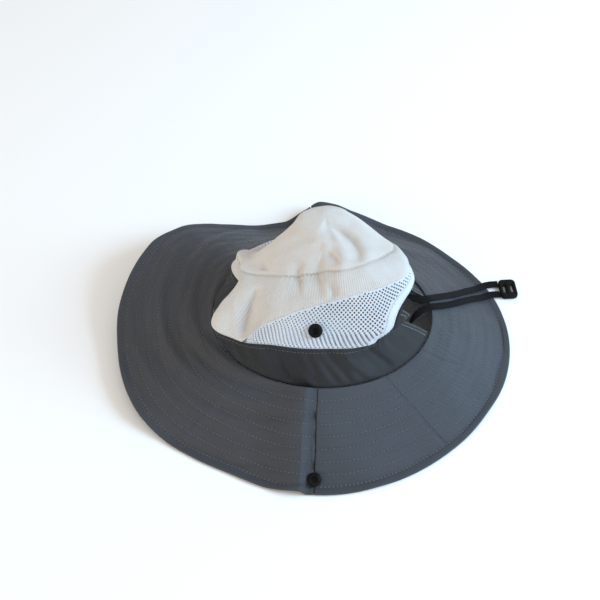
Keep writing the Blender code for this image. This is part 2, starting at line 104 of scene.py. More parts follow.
FOLDS = [
    (184, 1.1, 30, 0.9, -0.145, 0.02),
    (208, 0.95, 14, 0.7, 0.112, -0.06),
    (228, 1.0, 16, 0.6, 0.030, -0.09),
    (311, 1.0, 20, 0.8, 0.050, 0.00),
    (132, 2.4, 24, 1.1, -0.070, -0.19),
    (154, 2.0, 10, 0.7, 0.050, 0.06),
    (143, 3.4, 24, 0.55, -0.045, -0.08),
    (32, 3.1, 22, 1.0, -0.020, -0.06),
    (226, 1.9, 7, 0.8, -0.018, -0.01),
    (270, 3.3, 8, 0.9, -0.012, -0.02),
    (282, 3.4, 9, 0.8, 0.012, 0.02),
]
MESH_EDGE = [
    (0, 2.40), (17, 2.43), (35, 2.48), (52, 2.46), (72, 2.35), (90, 2.125),
    (103, 1.885), (112, 1.65), (121, 1.42), (125, 1.14), (128, 1.00),
]
TIP_SEAM = [
    (20, 3.12), (60, 3.05), (100, 2.90), (130, 2.35), (150, 1.75), (165, 1.62),
    (182, 1.88), (194, 2.32), (202, 2.56), (210, 2.73), (220, 2.86), (238, 2.96),
    (256, 3.09), (281, 3.14), (298, 3.18), (315, 3.31), (335, 3.36), (355, 3.22),
]
STRAP_RIGHT_ROUTE = [
    (0.002, 0.0685, 0.0510, 0), (0.022, 0.0662, 0.0510, 0), (0.042, 0.0598, 0.0510, 0),
    (0.060, 0.0490, 0.0510, 0), (0.0735, 0.0360, 0.0508, 0), (0.081, 0.0250, 0.0508, 0.1),
    (0.0858, 0.0158, 0.0510, 0.5), (0.093, 0.0103, 0.0505, 0.9), (0.101, 0.0093, 0.0498, 1),
    (0.1075, 0.0123, 0.0482, 1), (0.113, 0.0163, 0.0446, 1), (0.121, 0.0223, 0.0388, 1),
    (0.136, 0.0338, 0.0280, 1), (0.151, 0.0478, 0.0161, 1), (0.163, 0.0588, 0.0064, 1),
    (0.170, 0.0643, 0.0034, 1), (0.177, 0.0674, 0.0021, 1), (0.1851, 0.0683, 0.0018, 1),
]
STRAP_LEFT_ROUTE = [
    (0.002, -0.0772, 0.0510, 0), (0.022, -0.0752, 0.0510, 0), (0.042, -0.0700, 0.0510, 0),
    (0.060, -0.0608, 0.0510, 0), (0.0735, -0.0482, 0.0508, 0), (0.0815, -0.0360, 0.0508, 0),
    (0.0875, -0.0205, 0.0510, 0.3), (0.094, -0.0092, 0.0505, 0.8), (0.101, -0.0022, 0.0498, 1),
    (0.109, 0.0023, 0.0480, 1), (0.118, 0.0078, 0.0426, 1), (0.131, 0.0168, 0.0341, 1),
    (0.144, 0.0278, 0.0250, 1), (0.157, 0.0388, 0.0151, 1), (0.168, 0.0473, 0.0070, 1),
    (0.176, 0.0533, 0.0031, 1), (0.1859, 0.0553, 0.0018, 1),
]
BUCKLE_PLACE = (0.1945, 0.0618)
BUCKLE_TURN = 4.0

# Camera
CAMERA_TARGET = Vector((-0.0134, 0.0278, 0.0265))
CAMERA_ELEVATION = 51.0
CAMERA_DISTANCE = 1.0
CAMERA_LENS = 62.4


def add_camera():
    data = bpy.data.cameras.new("camera")
    data.lens = CAMERA_LENS
    data.sensor_width = 36.0
    data.clip_start = 0.05
    data.clip_end = 30.0
    camera = bpy.data.objects.new("camera", data)
    elevation = math.radians(CAMERA_ELEVATION)
    back = Vector((0.0, -math.cos(elevation), math.sin(elevation)))
    camera.location = CAMERA_TARGET + back * CAMERA_DISTANCE
    camera.rotation_euler = (math.radians(90.0 - CAMERA_ELEVATION), 0.0, 0.0)
    bpy.context.scene.collection.objects.link(camera)
    bpy.context.scene.camera = camera


add_camera()


# Smooth reading of the tables
def hermite(s, start, end, leave, arrive):
    """Cubic between two values at a share s, with the slopes it leaves and arrives with."""
    return ((2 * s ** 3 - 3 * s ** 2 + 1) * start + (s ** 3 - 2 * s ** 2 + s) * leave
            + (3 * s ** 2 - 2 * s ** 3) * end + (s ** 3 - s ** 2) * arrive)


def smooth(keys, values, at):
    """Values at places between keys, on a smooth curve through all of them."""
    keys = np.asarray(keys, float)
    values = np.asarray(values, float)
    rise = np.diff(values) / np.diff(keys)
    slope = np.zeros_like(values)
    slope[0] = rise[0]
    slope[-1] = rise[-1]
    product = rise[:-1] * rise[1:]
    total = np.where(product > 0, rise[:-1] + rise[1:], 1.0)
    slope[1:-1] = np.where(product > 0, 2 * product / total, 0.0)
    at = np.clip(np.asarray(at, float), keys[0], keys[-1])
    index = np.clip(np.searchsorted(keys, at, side="right") - 1, 0, len(keys) - 2)
    step = keys[index + 1] - keys[index]
    s = (at - keys[index]) / step
    return hermite(s, values[index], values[index + 1], slope[index] * step,
                   slope[index + 1] * step)


def column(table, index):
    return [row[index] for row in table]


def turn_between(angle, other):
    return (np.asarray(angle, float) - other + 180.0) % 360.0 - 180.0


def around(table, index, angle):
    """Reading of a table that closes on itself round the hat."""
    keys = column(table, 0)
    values = column(table, index)
    keys = [key - 360 for key in keys[-2:]] + keys + [key + 360 for key in keys[:2]]
    return smooth(keys, values[-2:] + values + values[:2], np.asarray(angle, float) % 360.0)


def rim_at(angle):
    """Reach of the brim and height of the rim."""
    return BRIM_REACH * around(RIM, 1, angle), RING_HEIGHT * around(RIM, 2, angle)


def crown_point(angle, level):
    """Middle surface of band and crown."""
    angle, level = np.broadcast_arrays(np.asarray(angle, float), np.asarray(level, float))
    keys = column(SECTIONS, 0)
    row = [smooth(keys, column(SECTIONS, index), level) for index in range(1, 10)]
    front, rear, near, far, swing, rise_front, rise_rear, rise_near, rise_far = row
    c = np.cos(np.radians(angle))
    s = np.sin(np.radians(angle))
    x = HEAD_LENGTH * ((front + rear) / 2 + (rear - front) / 2 * c)
    y = HEAD_WIDTH * ((near + far) / 2 + (far - near) / 2 * s + swing * ((1 + c) / 2) ** 2)
    y = y + RING_PLACE_Y
    rise = ((rise_front + rise_rear + rise_near + rise_far) / 4
            + (rise_rear - rise_front) / 2 * c
            + (rise_far - rise_near) / 2 * s
            + (rise_rear + rise_front - rise_far - rise_near) / 4 * (c * c - s * s))
    z = RING_HEIGHT + CROWN_RISE * rise
    for fold_angle, fold_level, angle_spread, level_spread, push, lift in FOLDS:
        weight = np.exp(-(turn_between(angle, fold_angle) / angle_spread) ** 2
                        - ((level - fold_level) / level_spread) ** 2)
        weight = weight * np.minimum(1.0, level)
        x = x + HEAD_LENGTH * push * weight * c
        y = y + HEAD_LENGTH * push * weight * s
        z = z + CROWN_RISE * lift * weight
    return np.stack([x, y, z], -1)


def brim_point(angle, share):
    """Lower surface of the brim."""
    angle, share = np.broadcast_arrays(np.asarray(angle, float), np.asarray(share, float))
    ring = crown_point(angle, 0.0)
    c = np.cos(np.radians(angle)) * HEAD_WIDTH
    s = np.sin(np.radians(angle)) * HEAD_LENGTH
    length = np.hypot(c, s)
    outward = np.stack([c / length, s / length, np.zeros_like(c)], -1)
    reach, lift = rim_at(angle)
    slope_share = np.minimum(1.0, share / (1.0 - HEM_WIDTH / reach))
    run = BAND_THICKNESS / 2 + SEAM_GAP + reach * share
    place = ring + outward * run[..., None]
    place[..., 2] = ring[..., 2] + (lift - ring[..., 2]) * slope_share
    return place


def opening_angle(tall):
    """Angle of the band's slanted end at a share of its height."""
    return OPENING_ANGLE_LOW + (OPENING_ANGLE_HIGH - OPENING_ANGLE_LOW) * tall ** 2


def arch_over(angle, half_angle, height):
    """Level of an arch over the ponytail opening; 1, the plain band top, beside it."""
    share = np.abs(turn_between(angle, 0)) / half_angle
    return 1.0 + height * np.clip(1 - share ** ARCH_POWER, 0, 1) ** (1 / ARCH_POWER)


def band_top(angle):
    """Level of the band's top edge, which climbs along the hem to the band's end."""
    far = np.maximum(np.abs(turn_between(angle, 0)), OPENING_ANGLE_HIGH)
    return arch_over(far, ARCH_ANGLE - ARCH_GAP_ANGLE, OPENING_ARCH) - SEAM_STEP


def arch_level(angle):
    """Level at which the mesh begins over the hem of the ponytail opening."""
    return arch_over(angle, ARCH_ANGLE + TRIM_ANGLE + ARCH_GAP_ANGLE,
                     OPENING_ARCH + TRIM_STEP + 2 * SEAM_STEP)


def tip_seam(angle):
    """Level of the seam between the side panel and the top panel."""
    return around(TIP_SEAM, 1, angle)


def mesh_edge(angle):
    side = np.abs(turn_between(angle, 0))
    return smooth(column(MESH_EDGE, 0), column(MESH_EDGE, 1), side)


def unit(vectors):
    length = np.linalg.norm(vectors, axis=-1, keepdims=True)
    return vectors / np.maximum(length, 1e-9)


def surface_frame(point_at, u, v, du, dv):
    along = point_at(u + du, v) - point_at(u - du, v)
    up = point_at(u, v + dv) - point_at(u, v - dv)
    return point_at(u, v), unit(np.cross(along, up))


def ripple(u, v, seed, count=5):
    """Smooth seeded unevenness between about -1 and 1; u and v in units of its length."""
    dice = np.random.default_rng(seed)
    total = 0.0
    for _ in range(count):
        heading = dice.uniform(0, 2 * math.pi)
        pitch = dice.uniform(0.6, 1.6)
        phase = dice.uniform(0, 2 * math.pi)
        across = u * math.cos(heading) + v * math.sin(heading)
        total = total + np.sin(2 * math.pi * pitch * across + phase)
    return total / count ** 0.5 / 1.2


def waves(table, u, v):
    """Sum of seeded waves; a row holds height, length along u, length along v, seed."""
    return sum(height * ripple(u / along, v / across, seed)
               for height, along, across, seed in table)


# Building blocks
def link(obj, material, slot_name, *nodes):
    """Places a finished piece in the scene, on the hat's one body."""
    bpy.context.scene.collection.objects.link(obj)
    obj.data.materials.append(material)
    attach(obj, "root")
    if nodes:
        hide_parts(*nodes)
    return obj


def make_object(name, points, faces, uv=None):
    mesh = bpy.data.meshes.new(name)
    mesh.from_pydata(np.asarray(points, float).tolist(), [], faces)
    if uv is not None:
        layer = mesh.uv_layers.new(name="UVMap")
        corner = np.zeros(len(mesh.loops), np.int32)
        mesh.loops.foreach_get("vertex_index", corner)
        layer.data.foreach_set("uv", np.asarray(uv, np.float32)[corner].ravel())
    mesh.validate()
    mesh.shade_smooth()
    return bpy.data.objects.new(name, mesh)


def grid_normals(grid, closed=False):
    if closed:
        along = np.roll(grid, -1, 1) - np.roll(grid, 1, 1)
    else:
        along = np.gradient(grid, axis=1)
    up = np.gradient(grid, axis=0)
    return unit(np.cross(along, up))


def ring_faces(first, last, size):
    """Quads that join rings of places, from the first ring's index to the last one's."""
    return [[start + k, start + size + k, start + size + (k + 1) % size, start + (k + 1) % size]
            for start in range(first, last, size) for k in range(size)]


def slab(name, middle, thick, uv, closed=False, flip=False, pole=False, round_out=0.3):
    """Cloth of real thickness through a grid of places, with rounded edges."""
    rows, cols = middle.shape[:2]
    normal = grid_normals(middle, closed) * (-1.0 if flip else 1.0)
    half = np.broadcast_to(np.asarray(thick, float), (rows, cols))[..., None] / 2
    front = (middle + normal * half).reshape(-1, 3)
    back = (middle - normal * half).reshape(-1, 3)
    index = np.arange(rows * cols).reshape(rows, cols)
    if closed:
        left, right = index, np.roll(index, -1, 1)
    else:
        left, right = index[:, :-1], index[:, 1:]
    a, b = left[:-1].ravel(), right[:-1].ravel()
    c, d = right[1:].ravel(), left[1:].ravel()
    count = rows * cols
    order = (a, d, c, b) if flip else (a, b, c, d)
    reverse = tuple(k + count for k in reversed(order))
    faces = np.concatenate([np.stack(order, 1), np.stack(reverse, 1)]).tolist()
    points = [front, back]
    uvs = [uv.reshape(-1, 2), uv.reshape(-1, 2)]
    total = 2 * count
    if closed:
        borders = [(index[0], index[1])]
        if not pole:
            borders.append((index[-1][::-1], index[-2][::-1]))
    else:
        edge = np.concatenate([index[0], index[1:, -1], index[-1, -2::-1], index[-2:0:-1, 0]])
        row = np.clip(edge // cols, 1, rows - 2)
        col = np.clip(edge % cols, 1, cols - 2)
        borders = [(edge, index[row, col])]
    flat = middle.reshape(-1, 3)
    flat_half = half.reshape(-1, 1)
    for edge, inner in borders:
        outward = unit(flat[edge] - flat[inner])
        points.append(flat[edge] + outward * flat_half[edge] * 2 * round_out)
        uvs.append(uv.reshape(-1, 2)[edge])
        size = len(edge)
        for k in range(size):
            n = (k + 1) % size
            e0, e1 = int(edge[k]), int(edge[n])
            m0, m1 = total + k, total + n
            if not flip:
                e0, e1, m0, m1 = e1, e0, m1, m0
            faces.append([e0, e1, m1, m0])
            faces.append([m0, m1, e1 + count, e0 + count])
        total += size
    if pole:
        centre = flat[index[-1]].mean(0)
        out = normal[-1].mean(0)
        points.append(np.stack([centre + out * half[-1, 0], centre - out * half[-1, 0]]))
        uvs.append(np.stack([uv[-1].mean(0)] * 2))
        last = index[-1]
        for k in range(cols):
            n = (k + 1) % cols
            faces.append([int(last[k]), int(last[n]), total])
            faces.append([int(last[n]) + count, int(last[k]) + count, total + 1])
    return make_object(name, np.concatenate(points), faces, np.concatenate(uvs))


# Stitches: length, pitch and radius of the thread, its height over the middle of the cloth
BRIM_STITCH = (0.0015, 0.0036, 0.00027, 0.00085)
BAND_STITCH = (0.0024, 0.0034, 0.00018, 0.00070)
BAND_END_STITCH = (0.0024, 0.0029, 0.00022, 0.00110)
TIP_STITCH = (0.0022, 0.0030, 0.00024, 0.00080)
TRIM_STITCH = (0.0022, 0.0030, 0.00020, 0.00090)
STITCH_UNEVEN = 0.06


def arc_lengths(points, axis=0):
    """Length travelled along one axis of a line or grid of points."""
    steps = np.linalg.norm(np.diff(points, axis=axis), axis=-1)
    steps = np.concatenate([0 * np.take(steps, [0], axis), steps], axis)
    return np.cumsum(steps, axis)


def read_line(keys, points, at):
    """Places of a line of points whose keys rise along it, read at one or more keys."""
    return np.stack([np.interp(at, keys, points[:, axis]) for axis in range(3)], -1)


def stitches(name, lines, sizes, material, slot_name, seed):
    """Thread stitches along lines of places and normals, joined into one piece."""
    length, pitch, radius, lift = sizes
    dice = np.random.default_rng(seed)
    sides = 5
    ring = np.arange(sides) * 2 * math.pi / sides + 0.3
    stations = np.array([-0.5, -0.22, 0.22, 0.5])
    girth = np.array([0.45, 1.0, 1.0, 0.45])
    height = np.array([-0.75, 0.45, 0.45, -0.75])
    last = (len(stations) - 1) * sides
    pattern = [(k + m, k + (m + 1) % sides, k + sides + (m + 1) % sides, k + sides + m)
               for k in range(0, last, sides) for m in range(sides)]
    pattern += [tuple(range(sides))[::-1], tuple(range(last, last + sides))]
    points = []
    faces = []
    base = 0
    for places, normals in lines:
        places = places + normals * lift
        lengths = arc_lengths(places)
        count = int(lengths[-1] / pitch)
        centres = (np.arange(count) + 0.5) * lengths[-1] / count
        centres = centres + dice.uniform(-STITCH_UNEVEN, STITCH_UNEVEN, count) * pitch
        middle = read_line(lengths, places, centres)
        ahead = read_line(lengths, places, np.minimum(centres + length / 2, lengths[-1]))
        behind = read_line(lengths, places, np.maximum(centres - length / 2, 0.0))
        forward = unit(ahead - behind)
        up = unit(read_line(lengths, normals, centres))
        side = unit(np.cross(forward, up))
        up = np.cross(side, forward)
        for k in range(len(stations)):
            centre = middle + forward * (stations[k] * length) + up * (height[k] * radius)
            for turn in ring:
                points.append(centre + side * (math.cos(turn) * girth[k] * radius)
                              + up * (math.sin(turn) * girth[k] * radius))
        faces += [[base + corner * count + stitch for corner in face]
                  for stitch in range(count) for face in pattern]
        base += len(stations) * sides * count
    link(make_object(name, np.concatenate(points), faces), material, slot_name)


# Materials
def new_material(name, color, roughness, sheen=0.0, specular=0.5):
    material = bpy.data.materials.new(name)
    material.use_nodes = True
    tree = material.node_tree
    shader = tree.nodes["Principled BSDF"]
    for key, value in (("Base Color", (*color, 1.0)), ("Roughness", roughness),
                       ("Specular IOR Level", specular), ("Sheen Weight", sheen),
                       ("Sheen Roughness", 0.45), ("Sheen Tint", (1.0, 1.0, 1.0, 1.0))):
        shader.inputs[key].default_value = value
    return material, tree, shader


def node(tree, kind, **sockets):
    made = tree.nodes.new(kind)
    for key, value in sockets.items():
        made.inputs[key.replace("_", " ")].default_value = value
    return made


def noise(tree, vector, scale, detail=3.0, rough=0.55):
    made = node(tree, "ShaderNodeTexNoise", Scale=scale, Detail=detail, Roughness=rough)
    tree.links.new(vector, made.inputs["Vector"])
    return made.outputs["Fac"]


def feed(tree, socket, value):
    """Links a node's output to a socket, or sets a plain value there."""
    if isinstance(value, bpy.types.NodeSocket):
        tree.links.new(value, socket)
    else:
        socket.default_value = (*value, 1.0) if isinstance(value, tuple) else value


def mix_color(tree, factor, first, second, blend="MIX"):
    made = tree.nodes.new("ShaderNodeMix")
    made.data_type = "RGBA"
    made.blend_type = blend
    for socket, value in ((0, factor), (6, first), (7, second)):
        feed(tree, made.inputs[socket], value)
    return made.outputs[2]


def ramp(tree, factor, low, high):
    made = node(tree, "ShaderNodeMapRange", From_Min=low, From_Max=high)
    tree.links.new(factor, made.inputs["Value"])
    return made.outputs["Result"]


def coordinates(tree):
    place = tree.nodes.new("ShaderNodeTexCoord")
    return place.outputs["UV"], place.outputs["Object"]


def wave(tree, vector, pitch, direction, distortion=0.0):
    """Bands at a given pitch in metres along one direction of the vector."""
    made = node(tree, "ShaderNodeTexWave", Scale=0.314159 / pitch, Distortion=distortion)
    made.bands_direction = direction
    made.wave_profile = "SIN"
    tree.links.new(vector, made.inputs["Vector"])
    return made.outputs["Fac"]


def bump(tree, height, distance, strength, normal=None):
    made = node(tree, "ShaderNodeBump", Strength=strength, Distance=distance)
    tree.links.new(height, made.inputs["Height"])
    if normal is not None:
        tree.links.new(normal, made.inputs["Normal"])
    return made.outputs["Normal"]


def math_node(tree, operation, first, second):
    made = tree.nodes.new("ShaderNodeMath")
    made.operation = operation
    feed(tree, made.inputs[0], first)
    feed(tree, made.inputs[1], second)
    return made.outputs[0]


def dress(tree, shader, color, normal):
    tree.links.new(color, shader.inputs["Base Color"])
    tree.links.new(normal, shader.inputs["Normal"])


def cloth_material(name, dark, light, roughness, thread, patch, crumple, rib=None,
                   sheen=0.05, specular=0.2):
    """Woven cloth: fine threads both ways, soft patches of colour, faint crumple."""
    material, tree, shader = new_material(name, light, roughness, sheen, specular)
    uv, spot = coordinates(tree)
    soft = ramp(tree, noise(tree, spot, patch, 4.0), 0.35, 0.65)
    color = mix_color(tree, soft, dark, light)
    warp = wave(tree, uv, thread, "X", 0.4)
    weft = wave(tree, uv, thread, "Y", 0.4)
    weave = math_node(tree, "ADD", warp, weft)
    shade = ramp(tree, weave, -1.0, 2.0)
    color = mix_color(tree, 0.22, color, shade, "MULTIPLY")
    fuzz = noise(tree, spot, 900.0, 2.0)
    color = mix_color(tree, 0.10, color, fuzz, "OVERLAY")
    if rib:
        pitch, rib_color, amount, depth = rib
        bands = wave(tree, uv, pitch, "X", 0.0)
        line = ramp(tree, bands, 0.45, 0.95)
        uneven = ramp(tree, noise(tree, spot, 45.0, 2.0), 0.25, 0.75)
        line = math_node(tree, "MULTIPLY", line, uneven)
        line = math_node(tree, "MULTIPLY", line, amount)
        color = mix_color(tree, line, color, rib_color)
    normal = bump(tree, weave, thread * 0.35, 0.5)
    if rib:
        normal = bump(tree, bands, depth, 0.6, normal)
    if crumple:
        folds = noise(tree, spot, 60.0, 3.0, 0.6)
        normal = bump(tree, folds, crumple, 0.5, normal)
    dress(tree, shader, color, normal)
    return material


def plastic_material(name, color, roughness, specular):
    material, tree, shader = new_material(name, color, roughness, specular=specular)
    spot = coordinates(tree)[1]
    tint = mix_color(tree, ramp(tree, noise(tree, spot, 120.0), 0.3, 0.7), color,
                     tuple(c * 1.6 + 0.002 for c in color))
    rough = ramp(tree, noise(tree, spot, 260.0), 0.2, 0.8)
    rough = math_node(tree, "MULTIPLY", rough, 0.14)
    rough = math_node(tree, "ADD", rough, roughness - 0.05)
    tree.links.new(rough, shader.inputs["Roughness"])
    dress(tree, shader, tint, bump(tree, noise(tree, spot, 700.0), 0.00006, 0.5))
    return material


def webbing_material(name, color):
    material, tree, shader = new_material(name, color, 0.68, 0.0, 0.10)
    uv = coordinates(tree)[0]
    across = wave(tree, uv, 0.0011, "Y", 0.3)
    along = wave(tree, uv, 0.0016, "X", 0.3)
    weave = math_node(tree, "MULTIPLY", across, along)
    color = mix_color(tree, weave, tuple(c * 0.6 for c in color), tuple(c * 1.5 for c in color))
    dress(tree, shader, color, bump(tree, weave, 0.0003, 0.7))
    return material


def thread_material(name, color):
    material, tree, shader = new_material(name, color, 0.6, 0.2, 0.4)
    spot = coordinates(tree)[1]
    soft = ramp(tree, noise(tree, spot, 300.0), 0.3, 0.7)
    tint = mix_color(tree, soft, tuple(c * 0.75 for c in color), color)
    dress(tree, shader, tint, bump(tree, wave(tree, spot, 0.0007, "DIAGONAL"), 0.0001, 0.5))
    return material


# Cloths: darker and lighter colour, roughness, thread pitch, scale of the patches, crumple
BRIM_CLOTH = cloth_material("brim_cloth", (0.040, 0.044, 0.052), (0.049, 0.056, 0.069),
                            0.52, 0.0006, 9.0, 0.0006, sheen=0.08, specular=0.40)
BAND_CLOTH = cloth_material("band_cloth", (0.015, 0.016, 0.018), (0.026, 0.028, 0.031),
                            0.55, 0.0006, 16.0, 0.0006, specular=0.30)
# The rib is the pinstripe: pitch, colour, amount, depth
SIDE_CLOTH = cloth_material("side_cloth", (0.68, 0.66, 0.63), (0.77, 0.76, 0.74),
                            0.75, 0.0006, 12.0, 0.0006,
                            rib=(0.0024, (0.50, 0.46, 0.41), 0.55, 0.00035))
TIP_CLOTH = cloth_material("tip_cloth", (0.69, 0.66, 0.62), (0.78, 0.77, 0.75),
                           0.75, 0.0005, 12.0, 0.0006)
MESH_CLOTH = cloth_material("mesh_cloth", (0.62, 0.67, 0.74), (0.70, 0.74, 0.79),
                            0.7, 0.0007, 20.0, 0.0)
TRIM_CLOTH = cloth_material("trim_cloth", (0.62, 0.70, 0.82), (0.74, 0.79, 0.86),
                            0.7, 0.0006, 30.0, 0.0004)
SNAP_PLASTIC = plastic_material("snap_plastic", (0.006, 0.006, 0.006), 0.42, 0.06)
BUCKLE_PLASTIC = plastic_material("buckle_plastic", (0.007, 0.007, 0.007), 0.45, 0.08)
WEBBING = webbing_material("strap_webbing", (0.007, 0.007, 0.008))
GREY_THREAD = thread_material("grey_thread", (0.170, 0.180, 0.195))
PALE_THREAD = thread_material("pale_thread", (0.42, 0.42, 0.42))
WARM_THREAD = thread_material("warm_thread", (0.52, 0.46, 0.36))
WHITE_THREAD = thread_material("white_thread", (0.72, 0.74, 0.76))


# Chin strap
def spline_at(keys, values, at):
    index = min(max(k for k in range(len(keys)) if keys[k] <= at + 1e-9), len(keys) - 2)
    step = keys[index + 1] - keys[index]
    s = (at - keys[index]) / step
    before = max(index - 1, 0)
    after = min(index + 2, len(keys) - 1)
    start = (values[index + 1] - values[before]) / (keys[index + 1] - keys[before]) * step
    end = (values[after] - values[index]) / (keys[after] - keys[index]) * step
    return hermite(s, values[index], values[index + 1], start, end)


STRAP_SIDES = 20
STRAP_STATION = 0.0015


def build_strap(name, node_name, route):
    """Flat woven strand on the route of its solid. Returns the piece and its centreline."""
    lengths = arc_lengths(np.array(route)[:, :3])
    stations = np.linspace(0.0, lengths[-1], round(lengths[-1] / STRAP_STATION) + 1)
    places = np.array([[spline_at(lengths, column(route, k), at) for k in range(4)]
                       for at in stations])
    centre, turn = places[:, :3], np.radians(90.0) * places[:, 3]
    tangent = unit(np.gradient(centre, axis=0))
    side = unit(np.cross(tangent, np.array([0.0, 0.0, 1.0])))
    upward = np.cross(side, tangent)
    wide = upward * np.cos(turn)[:, None] + side * np.sin(turn)[:, None]
    thin = np.cross(tangent, wide)
    profile = []
    half_width = STRAP_WIDTH / 2
    half_thick = STRAP_THICKNESS / 2
    for k in range(STRAP_SIDES):
        angle = 2 * math.pi * k / STRAP_SIDES
        c, s = math.cos(angle), math.sin(angle)
        across = math.copysign(abs(c) ** 0.35, c) * half_width
        over = math.copysign(abs(s) ** 0.6, s) * half_thick
        edge = abs(across) / half_width
        over *= 0.86 + 0.14 * (edge > 0.7) * (edge < 0.97)
        profile.append((across, over))
    rings = [centre + wide * across + thin * over for across, over in profile]
    size = len(profile)
    points = np.stack(rings, 1).reshape(-1, 3)
    travelled = arc_lengths(centre)
    uv = [(at, across) for at in travelled for across, _ in profile]
    last = (len(centre) - 1) * size
    faces = ring_faces(0, last, size)
    faces.append(list(range(size)))
    faces.append(list(range(last + size - 1, last - 1, -1)))
    piece = make_object(name, points, faces, np.array(uv))
    link(piece, WEBBING, "strap_webbing", node_name)
    return piece, centre, float(travelled[-1])


def rounded_outline(length, width, corner, shift=0.0, steps=6):
    outline = []
    for quarter, (sx, sy) in enumerate(((1, 1), (-1, 1), (-1, -1), (1, -1))):
        for step in range(steps + 1):
            angle = math.radians(90 * quarter + 90 * step / steps)
            outline.append((sx * (length / 2 - corner) + corner * math.cos(angle) + shift,
                            sy * (width / 2 - corner) + corner * math.sin(angle)))
    return outline


def plate(outlines, thickness, edge, height):
    """Rounded plate with openings, as points and faces in its own plane."""
    curve = bpy.data.curves.new("plate", "CURVE")
    curve.dimensions = "2D"
    curve.fill_mode = "BOTH"
    curve.extrude = thickness / 2 - edge
    curve.bevel_depth = edge
    curve.bevel_resolution = 3
    curve.offset = -edge
    for outline in outlines:
        line = curve.splines.new("POLY")
        line.points.add(len(outline) - 1)
        line.use_cyclic_u = True
        for point, (x, y) in zip(line.points, outline):
            point.co = (x, y, 0.0, 1.0)
    holder = bpy.data.objects.new("plate", curve)
    bpy.context.scene.collection.objects.link(holder)
    bpy.context.view_layer.update()
    depsgraph = bpy.context.evaluated_depsgraph_get()
    mesh = bpy.data.meshes.new_from_object(holder.evaluated_get(depsgraph))
    points = np.array([v.co for v in mesh.vertices]) + np.array([0.0, 0.0, height])
    faces = [list(p.vertices) for p in mesh.polygons]
    bpy.data.objects.remove(holder)
    bpy.data.meshes.remove(mesh)
    bpy.data.curves.remove(curve)
    return points, faces


def join_parts(parts):
    points = []
    faces = []
    base = 0
    for part_points, part_faces in parts:
        points.append(part_points)
        faces += [[base + k for k in face] for face in part_faces]
        base += len(part_points)
    return np.concatenate(points), faces


# Slots and raised ribs of the slider: length, width, corner
SLOT = (0.0026, 0.010, 0.0012)
SLOT_SHARE = 0.22
RIB = (0.0016, 0.0165, 0.0007)
RIB_SHIFT = 0.0068
RIB_THICKNESS = 0.0014


def build_buckle():
    """Slider with two slots and raised ribs."""
    slots = [rounded_outline(*SLOT, shift=shift, steps=4)
             for shift in (-BUCKLE_LENGTH * SLOT_SHARE, BUCKLE_LENGTH * SLOT_SHARE)]
    body = rounded_outline(BUCKLE_LENGTH, BUCKLE_WIDTH, 0.0045)
    parts = [plate([body] + slots, BUCKLE_THICKNESS, 0.0008, BUCKLE_THICKNESS / 2)]
    for shift in (-RIB_SHIFT, 0.0, RIB_SHIFT):
        rib = rounded_outline(*RIB, shift=shift, steps=3)
        parts.append(plate([rib], RIB_THICKNESS, 0.0004, BUCKLE_THICKNESS + 0.0002))
    points, faces = join_parts(parts)
    turn = math.radians(BUCKLE_TURN)
    x = points[:, 0] * math.cos(turn) - points[:, 1] * math.sin(turn) + BUCKLE_PLACE[0]
    y = points[:, 0] * math.sin(turn) + points[:, 1] * math.cos(turn) + BUCKLE_PLACE[1]
    piece = make_object("buckle_slider", np.stack([x, y, points[:, 2]], 1), faces)
    return link(piece, BUCKLE_PLASTIC, "buckle_plastic", "buckle")


def add_cords():
    buckle = build_buckle()
    for name, route in (("strap_right", STRAP_RIGHT_ROUTE), ("strap_left", STRAP_LEFT_ROUTE)):
        strap, line, length = build_strap(name + "_web", name, route)


add_cords()


# Brim
STITCH_ROWS = (0.115, 0.225, 0.335, 0.450, 0.565, 0.685, 0.800, 0.905)
HEM_STITCH_PLACE = 0.0062
BRIM_CLOTH_THICKNESS = 0.0015
BRIM_HEM_EXTRA = 0.0006
BRIM_WAVES = [(0.0009, 0.075, 0.110, 11), (0.0004, 0.026, 0.030, 12)]
ROW_DIP = 0.00028
ROW_DIP_WIDTH = 0.0014
PUCKER_HEIGHT = 0.00028
PUCKER_WIDTH = 0.0034
PUCKER_PITCH = 0.0046
HEM_DIP = 0.00045
HEM_DIP_WIDTH = 0.0012
# Pressed lines of the brim: places as angle and share, width to the left and
# right of the route seen from above, height
BRIM_LINES = [
    (((262.0, 0.0), (261.5, 0.35), (262.2, 0.7), (262.6, 1.0)), 0.0045, 0.0190, 0.0052),
    (((303.0, 0.0), (309.0, 0.40), (311.5, 0.70), (314.5, 1.0)), 0.0012, 0.0022, -0.0008),
    (((331.0, 0.0), (335.0, 0.22), (339.0, 0.40)), 0.0014, 0.0014, -0.0006),
    (((226.0, 0.0), (224.0, 0.5), (222.0, 1.0)), 0.0030, 0.0030, 0.0006),
    (((190.0, 0.0), (187.0, 0.5), (184.0, 1.0)), 0.0060, 0.0060, 0.0008),
    (((150.0, 0.0), (151.0, 0.6), (150.0, 1.0)), 0.0080, 0.0080, 0.0010),
    (((60.0, 0.0), (63.0, 0.5), (64.0, 1.0)), 0.0040, 0.0040, -0.0006),
]


